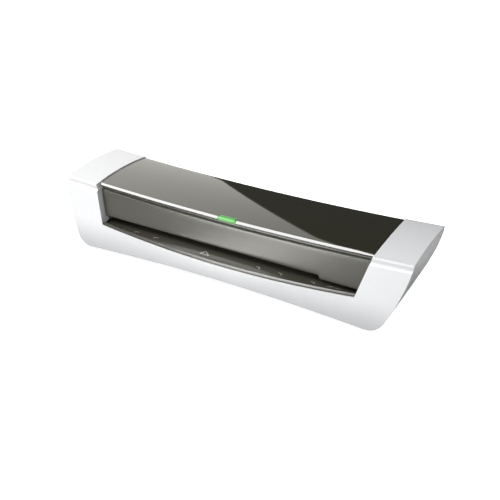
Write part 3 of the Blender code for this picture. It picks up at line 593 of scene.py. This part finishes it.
def fascia_path(x):
    """The fascia's section: the step under the nose, the face, the lip and the slot's roof."""
    crease = crease_z(x)
    lip = SLOT_TOP_Z - slot_closing(x)
    ledge = crease - LEDGE
    outer = [(NOSE_Y + 0.0052, crease - 0.0040, 0), (NOSE_Y + 0.0025, crease - 0.0040, 0.0003)]
    outer += [(NOSE_Y + 0.0022, crease - 0.0057, 0.0003), (fascia_y(ledge), ledge, 0.0004)]
    outer += [(fascia_y(ledge - 0.004), ledge - 0.004, 0)]
    outer += [(fascia_y(z), z, 0) for z in spaced(ledge - 0.004, lip + 0.003, 6)[1:]]
    outer += [(fascia_y(lip), lip - 0.0003, 0.0016), (fascia_y(lip) + 0.004, lip - 0.0014, 0)]
    outer += [(TRAY_END_Y, lip - 0.0006, 0)]
    inner = [(TRAY_END_Y, lip + 0.0012), (fascia_y(lip) + 0.0026, lip + 0.0008)]
    inner += [(fascia_y(ledge) + 0.0020, ledge - 0.0012), (NOSE_Y + 0.0034, crease - 0.0060)]
    inner += [(NOSE_Y + 0.0052, crease - 0.0058)]
    return rounded(outer) + inner


def make_fascia():
    bm = bmesh.new()
    closing = [(SLOT_END_X + dx) / WINDOW_X for dx in spaced(-0.0016, 0.0016, 8)]
    add_loft(bm, even_stations(72, closing), lambda u: across(u, fascia_path(u * WINDOW_X)))
    fascia = make_piece("fascia_panel", bm, MATERIALS["fascia_gloss"])
    show(fascia, "chassis", "dark_gloss", "fascia")


def tray_top(x):
    """The tray's upper surface from the slot to the lip, as (y, z)."""
    front = tray_z(x)
    face = front_y(front)
    points = [(TRAY_END_Y, TRAY_BACK_Z + 0.0012), (TRAY_BACK_Y + 0.004, TRAY_BACK_Z + 0.0003)]
    for t in spaced(0, 0.93, 14):
        points.append((mix(TRAY_BACK_Y, face, t), mix(TRAY_BACK_Z, front, t**1.2)))
    return points


def tray_path(u):
    """The tray's section, with its raised lip."""
    x = u * TRAY_REACH
    front = tray_z(x)
    face = front_y(front)
    top = tray_top(x)
    lip = [(*top[-1], 0), (face + 0.0001, front + 0.0001, 0.0007)]
    lip += [(front_y(front - TRAY_LIP) - 0.0002, front - TRAY_LIP, 0.0004), (face + 0.0019, front - TRAY_LIP, 0)]
    under = [(y, z - 0.0019) for y, z in reversed(top[:9])]
    return across(u, top[:-1] + rounded(lip) + under)


def make_feed_tray():
    bm = bmesh.new()
    add_loft(bm, even_stations(96), tray_path)
    tray = make_piece("tray_shelf", bm, MATERIALS["tray_marked"])
    show(tray, "chassis", "dark_satin", "feed_tray")


def key_path(x):
    """The key's section; its outline shrinks a little towards both ends."""
    crease = crease_z(x)
    tuck = 0.0004 * max(0.0, abs(x) / KEY_HALF - 0.93) / 0.07
    back = KEY_HIGH.y
    proud = KEY_PROUD - tuck

    def lid(y):
        return top_z(x, y) - COVER_DROP + proud

    corners = [(back, crease - 0.0030, 0), (NOSE_Y + 0.0005, crease - 0.0030, 0.0005)]
    corners += [(NOSE_Y - 0.0003 + tuck, lid(NOSE_Y), 0.0020), (back, lid(back), 0.0004)]
    corners += [(back, crease - 0.0030, 0)]
    return [(x, y, z) for y, z in rounded(corners, 6)[:-1]]


def make_power_key():
    bm = bmesh.new()
    inner = KEY_HALF * 0.93
    stations = spaced(-KEY_HALF, -inner, 4) + spaced(-inner, inner, 16)[1:-1] + spaced(inner, KEY_HALF, 4)
    add_loft(bm, stations, key_path)
    key = make_piece("key_cap", bm, MATERIALS["key_green"])
    show(key, "power_key", "key_green", "power_key")


# Marks printed on the tray


def marked_tray():
    """Satin plastic with pale printed guides: three pairs of ticks and an arrowhead, no lettering."""
    nodes = finish_material("dark_satin_marked", (0.060, 0.057, 0.045), 0.22, 0.000004)
    x, y, _ = nodes.split_place()
    offset = nodes.maths("SUBTRACT", x, PATH_X)
    side = nodes.maths("ABSOLUTE", offset)
    marks = []
    for reach in MARK_REACHES:
        tick = nodes.maths("COMPARE", side, reach, 0.00028)
        marks.append(nodes.maths("MULTIPLY", tick, nodes.maths("COMPARE", y, MARK_Y, 0.0014)))
        dash = nodes.maths("COMPARE", side, reach - 0.0022, 0.0013)
        marks.append(nodes.maths("MULTIPLY", dash, nodes.maths("COMPARE", y, MARK_Y + 0.0011, 0.00028)))
    fall = nodes.maths("SUBTRACT", MARK_Y + 0.0020, y)
    slope = nodes.maths("COMPARE", side, nodes.maths("MULTIPLY", fall, 1.2), 0.0005)
    inside = nodes.maths("COMPARE", fall, 0.0019, 0.0019)
    marks.append(nodes.maths("MULTIPLY", slope, inside))
    base = nodes.maths("COMPARE", fall, 0.0037, 0.00025)
    marks.append(nodes.maths("MULTIPLY", base, nodes.maths("LESS_THAN", side, 0.0048)))
    printed = marks[0]
    for mark in marks[1:]:
        printed = nodes.maths("MAXIMUM", printed, mark)
    shader = nodes.shader.inputs["Base Color"]
    plain = shader.links[0].from_socket
    node = nodes.add("ShaderNodeMix", data_type="RGBA")
    nodes.link(printed, node.inputs["Factor"])
    nodes.link(plain, node.inputs["A"])
    node.inputs["B"].default_value = MARK_INK
    nodes.link(node.outputs["Result"], shader)
    return nodes.material


MATERIALS["tray_marked"] = marked_tray()


def dress_frame_nodes():
    """Each CAD node that stays gets its slot's finish."""
    slots = {part["node"]: part["material_slot"] for part in frame["record"]["subparts"]}
    for name, node in NODES.items():
        node.data.materials.clear()
        node.data.materials.append(MATERIALS[slots[name]])


# Studio


def aim(thing, place, target):
    thing.location = place
    direction = Vector(target) - Vector(place)
    thing.rotation_euler = direction.to_track_quat("-Z", "Y").to_euler()


def area_light(name, place, target, size, power, colour=(1, 1, 1)):
    data = bpy.data.lights.new(name, "AREA")
    data.shape = "RECTANGLE"
    data.size, data.size_y = size
    data.energy = power
    data.color = colour
    light = bpy.data.objects.new(name, data)
    bpy.context.scene.collection.objects.link(light)
    aim(light, place, target)
    return light


def card_material(name, axis, start, end, near, far, colour=(1, 1, 1)):
    """A glowing card whose strength runs from near to far between two places along an axis."""
    material = bpy.data.materials.new(name)
    material.use_nodes = True
    tree = material.node_tree
    tree.nodes.clear()
    place = tree.nodes.new("ShaderNodeTexCoord")
    split = tree.nodes.new("ShaderNodeSeparateXYZ")
    tree.links.new(place.outputs["Object"], split.inputs["Vector"])
    strength = tree.nodes.new("ShaderNodeMapRange")
    strength.inputs["From Min"].default_value = start
    strength.inputs["From Max"].default_value = end
    strength.inputs["To Min"].default_value = near
    strength.inputs["To Max"].default_value = far
    tree.links.new(split.outputs[axis], strength.inputs["Value"])
    glow = tree.nodes.new("ShaderNodeEmission")
    glow.inputs["Color"].default_value = (*colour, 1)
    tree.links.new(strength.outputs["Result"], glow.inputs["Strength"])
    out = tree.nodes.new("ShaderNodeOutputMaterial")
    tree.links.new(glow.outputs["Emission"], out.inputs["Surface"])
    return material


def add_card(name, corners, material):
    """A card that shows only in glossy surfaces."""
    bm = bmesh.new()
    bm.faces.new([bm.verts.new(corner) for corner in corners])
    card = make_piece(name, bm, material)
    for kind in ("camera", "diffuse", "shadow", "transmission"):
        setattr(card, "visible_" + kind, False)


def reflected(x, y):
    """The line of sight that leaves the cover's gloss at (x, y), as a start and a direction."""
    nudge = 0.0001

    def level(u, v):
        return top_z(u, v) - COVER_DROP

    start = Vector((x, y, level(x, y)))
    slope_x = (level(x + nudge, y) - level(x - nudge, y)) / (2 * nudge)
    slope_y = (level(x, y + nudge) - level(x, y - nudge)) / (2 * nudge)
    normal = Vector((-slope_x, -slope_y, 1)).normalized()
    sight = (start - CAMERA_PLACE).normalized()
    return start, sight - 2 * sight.dot(normal) * normal


def make_cards():
    """Behind, a card that draws the slanting line on the cover; in front, one for the fascia's sheen;
    and on the right behind, one for the end panel's rim."""
    edge = []
    for x, y in CARD_EDGE_ON_COVER:
        start, direction = reflected(x, y)
        edge.append(start + direction * ((CARD_Y - start.y) / direction.y))
    along = (edge[1] - edge[0]).normalized()
    low, high = sorted((edge[0] - along * CARD_REACH, edge[1] + along * CARD_REACH), key=lambda point: point.z)
    far_left = Vector((-CARD_WIDTH, 0, 0))
    glow = card_material("card_glow", "X", -0.95, -0.35, *CARD_GLOW, (1.0, 0.985, 0.93))
    add_card("card", [low, high, high + far_left, low + far_left], glow)
    sheen = card_material("sheen_glow", "Y", -0.6, -0.2, 5.5, 9.5, (1.0, 0.98, 0.94))
    add_card("sheen_card", SHEEN_CARD, sheen)
    add_card("rim_card", RIM_CARD, card_material("rim_glow", "Z", 0.15, 0.85, 6.0, 6.0))


def make_floor():
    """A pale floor and backdrop for the camera only, and a grey plane under them that lights from below."""
    bm = bmesh.new()
    bmesh.ops.create_grid(bm, x_segments=1, y_segments=1, size=FLOOR_SIZE)
    wall = {"radius1": BACKDROP_RADIUS, "radius2": BACKDROP_RADIUS, "depth": 2 * BACKDROP_MIDDLE + 0.2}
    place = Matrix.Translation((0, 0, BACKDROP_MIDDLE))
    bmesh.ops.create_cone(bm, segments=96, cap_ends=False, matrix=place, **wall)
    nodes = finish_material("floor", (0.93, 0.93, 0.93), 0.9, 0.00001, uneven=0.004)
    nodes.shader.inputs["Emission Color"].default_value = (1, 1, 1, 1)
    nodes.shader.inputs["Emission Strength"].default_value = FLOOR_GLOW
    floor = make_piece("floor", bm, nodes.material)
    floor.visible_diffuse = False
    floor.visible_glossy = False
    floor.visible_shadow = False
    under = bmesh.new()
    bmesh.ops.create_grid(under, x_segments=1, y_segments=1, size=FLOOR_SIZE)
    bounce = make_piece("bounce", under, finish_material("bounce", (0.6, 0.6, 0.6), 0.9, 0.00001).material)
    bounce.location.z = -0.002
    bounce.visible_camera = False


def camera_axes():
    a, e = CAMERA_AZIMUTH, CAMERA_ELEVATION
    forward = Vector((-math.sin(a) * math.cos(e), math.cos(a) * math.cos(e), -math.sin(e)))
    level = Vector((math.cos(a), math.sin(a), 0))
    upright = level.cross(forward)
    right = level * math.cos(CAMERA_ROLL) + upright * math.sin(CAMERA_ROLL)
    up = upright * math.cos(CAMERA_ROLL) - level * math.sin(CAMERA_ROLL)
    return right, up, forward


def make_camera():
    data = bpy.data.cameras.new("camera")
    data.lens = CAMERA_LENS
    data.sensor_width = 36
    camera = bpy.data.objects.new("camera", data)
    bpy.context.scene.collection.objects.link(camera)
    right, up, forward = camera_axes()
    turn = Matrix((right, up, -forward)).transposed().to_4x4()
    camera.matrix_world = Matrix.Translation(CAMERA_PLACE) @ turn
    bpy.context.scene.camera = camera


def make_studio():
    make_floor()
    world = bpy.data.worlds.new("studio")
    world.use_nodes = True
    world.node_tree.nodes["Background"].inputs["Color"].default_value = (1, 1, 1, 1)
    world.node_tree.nodes["Background"].inputs["Strength"].default_value = WORLD_GREY
    bpy.context.scene.world = world
    area_light("overhead", (-0.70, -0.33, 1.30), (0, 0, 0), (1.0, 0.6), 20.5)
    area_light("front", (-0.44, -1.13, 0.13), (0.04, 0, 0.04), (0.34, 0.22), 5.0)
    fill = area_light("fill", (1.0, -0.75, 0.55), (0, 0, 0.03), (0.8, 0.6), 4.5)
    fill.visible_glossy = False
    make_cards()
    bpy.context.scene.view_settings.view_transform = "Standard"


def main():
    make_camera()
    make_studio()
    dress_frame_nodes()
    make_housing()
    make_top_cover()
    make_fascia()
    make_feed_tray()
    make_power_key()


main()
